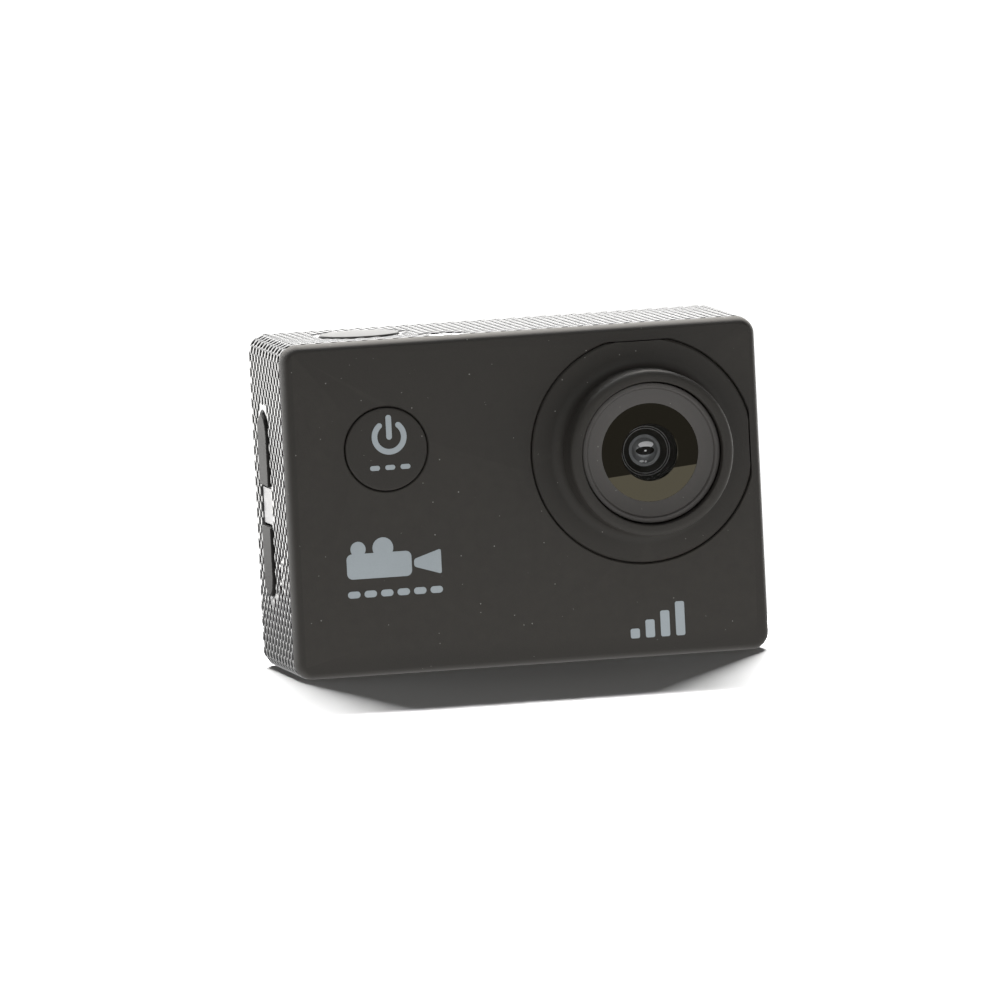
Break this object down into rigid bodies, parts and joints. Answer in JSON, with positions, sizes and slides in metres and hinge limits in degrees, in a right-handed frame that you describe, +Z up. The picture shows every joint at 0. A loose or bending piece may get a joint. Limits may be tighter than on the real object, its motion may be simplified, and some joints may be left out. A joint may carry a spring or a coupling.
{
  "type": "action camera",
  "caption": "Compact action camera with a woven side band between matte covers, a proud round lens, press buttons, a rear screen, a hinged battery door and a tripod socket.",
  "frame": {"origin": "on the base plane, under the middle of the overall box, lens and side keys included", "axes": "+Z up with the camera standing on its base; the lens looks along -Y; +X is the lens side, which carries the ports"},
  "size_m": [0.0596, 0.0294, 0.0413],
  "materials": {
    "soft_black": "fine matte, rubbery paint",
    "woven_gloss": "gloss, moulded diamond weave",
    "hood_grey": "satin, fine turned",
    "window_glass": "polished, smoked",
    "lens_black": "anti-glare black",
    "coated_glass": "polished, coated",
    "chip_black": "moulded",
    "board_green": "solder mask",
    "flex_amber": "film",
    "pad_grey": "soft",
    "spreader_metal": "brushed",
    "tinned_steel": "tinned",
    "chassis_black": "moulded",
    "screw_steel": "plated",
    "battery_wrap": "shrink wrap",
    "contact_gold": "plated",
    "door_black": "satin moulded",
    "socket_metal": "turned",
    "panel_black": "dark, unlit",
    "screen_gloss": "polished",
    "light_white": "moulded",
    "light_pipe": "milky clear",
    "key_satin": "satin",
    "bridge_gloss": "polished",
    "port_metal": "plated"
  },
  "bodies": {
    "camera_body": {"front_cover": "soft_black", "side_band": "woven_gloss", "rear_cover": "soft_black", "lens_plinth": "soft_black", "lens_hood": "hood_grey", "lens_window": "window_glass", "lens_baffle": "lens_black", "front_element": "coated_glass", "lens_cell": "lens_black", "rear_elements": "coated_glass", "lens_holder": "lens_black", "infrared_filter": "coated_glass", "image_sensor": "chip_black", "sensor_board": "board_green", "sensor_flex": "flex_amber", "main_board": "board_green", "processor": "chip_black", "memory_chip": "chip_black", "thermal_pad": "pad_grey", "heat_spreader": "spreader_metal", "wifi_module": "tinned_steel", "wifi_antenna": "flex_amber", "chassis": "chassis_black", "chassis_screws": "screw_steel", "battery": "battery_wrap", "battery_contacts": "contact_gold", "door_pin": "screw_steel", "tripod_insert": "socket_metal", "screen_frame": "tinned_steel", "screen_panel": "panel_black", "screen_window": "screen_gloss", "screen_flex": "flex_amber", "status_lights": "light_white", "top_light_pipe": "light_pipe", "rear_light_pipes": "light_pipe", "mode_switch": "chip_black", "shutter_switch": "chip_black", "up_switch": "chip_black", "down_switch": "chip_black", "key_bridge": "bridge_gloss", "key_board": "board_green", "speaker": "chip_black", "microphone": "tinned_steel", "usb_socket": "port_metal", "video_socket": "port_metal", "card_slot": "port_metal"},
    "mode_button": {"mode_button": "soft_black", "mode_plunger": "tinned_steel"},
    "shutter_button": {"shutter_button": "key_satin", "shutter_plunger": "tinned_steel"},
    "up_button": {"up_button": "key_satin", "up_plunger": "tinned_steel"},
    "down_button": {"down_button": "key_satin", "down_plunger": "tinned_steel"},
    "battery_door": {"battery_door": "door_black"}
  },
  "joints": [
    {"name": "mode_press", "type": "slide", "parent": "camera_body", "child": "mode_button", "axis": [0, 1, 0], "range_m": [0, 0.0005], "stiffness_N_per_m": 600},
    {"name": "shutter_press", "type": "slide", "parent": "camera_body", "child": "shutter_button", "axis": [0, 0, -1], "range_m": [0, 0.00035], "stiffness_N_per_m": 900},
    {"name": "up_press", "type": "slide", "parent": "camera_body", "child": "up_button", "axis": [1, 0, 0], "range_m": [0, 0.0003], "stiffness_N_per_m": 700},
    {"name": "down_press", "type": "slide", "parent": "camera_body", "child": "down_button", "axis": [1, 0, 0], "range_m": [0, 0.0003], "stiffness_N_per_m": 700},
    {"name": "door_hinge", "type": "hinge", "parent": "camera_body", "child": "battery_door", "pos_m": [-0.02488, 0.00455, 0.00115], "axis": [0, 1, 0], "range_deg": [0, 95]}
  ]
}
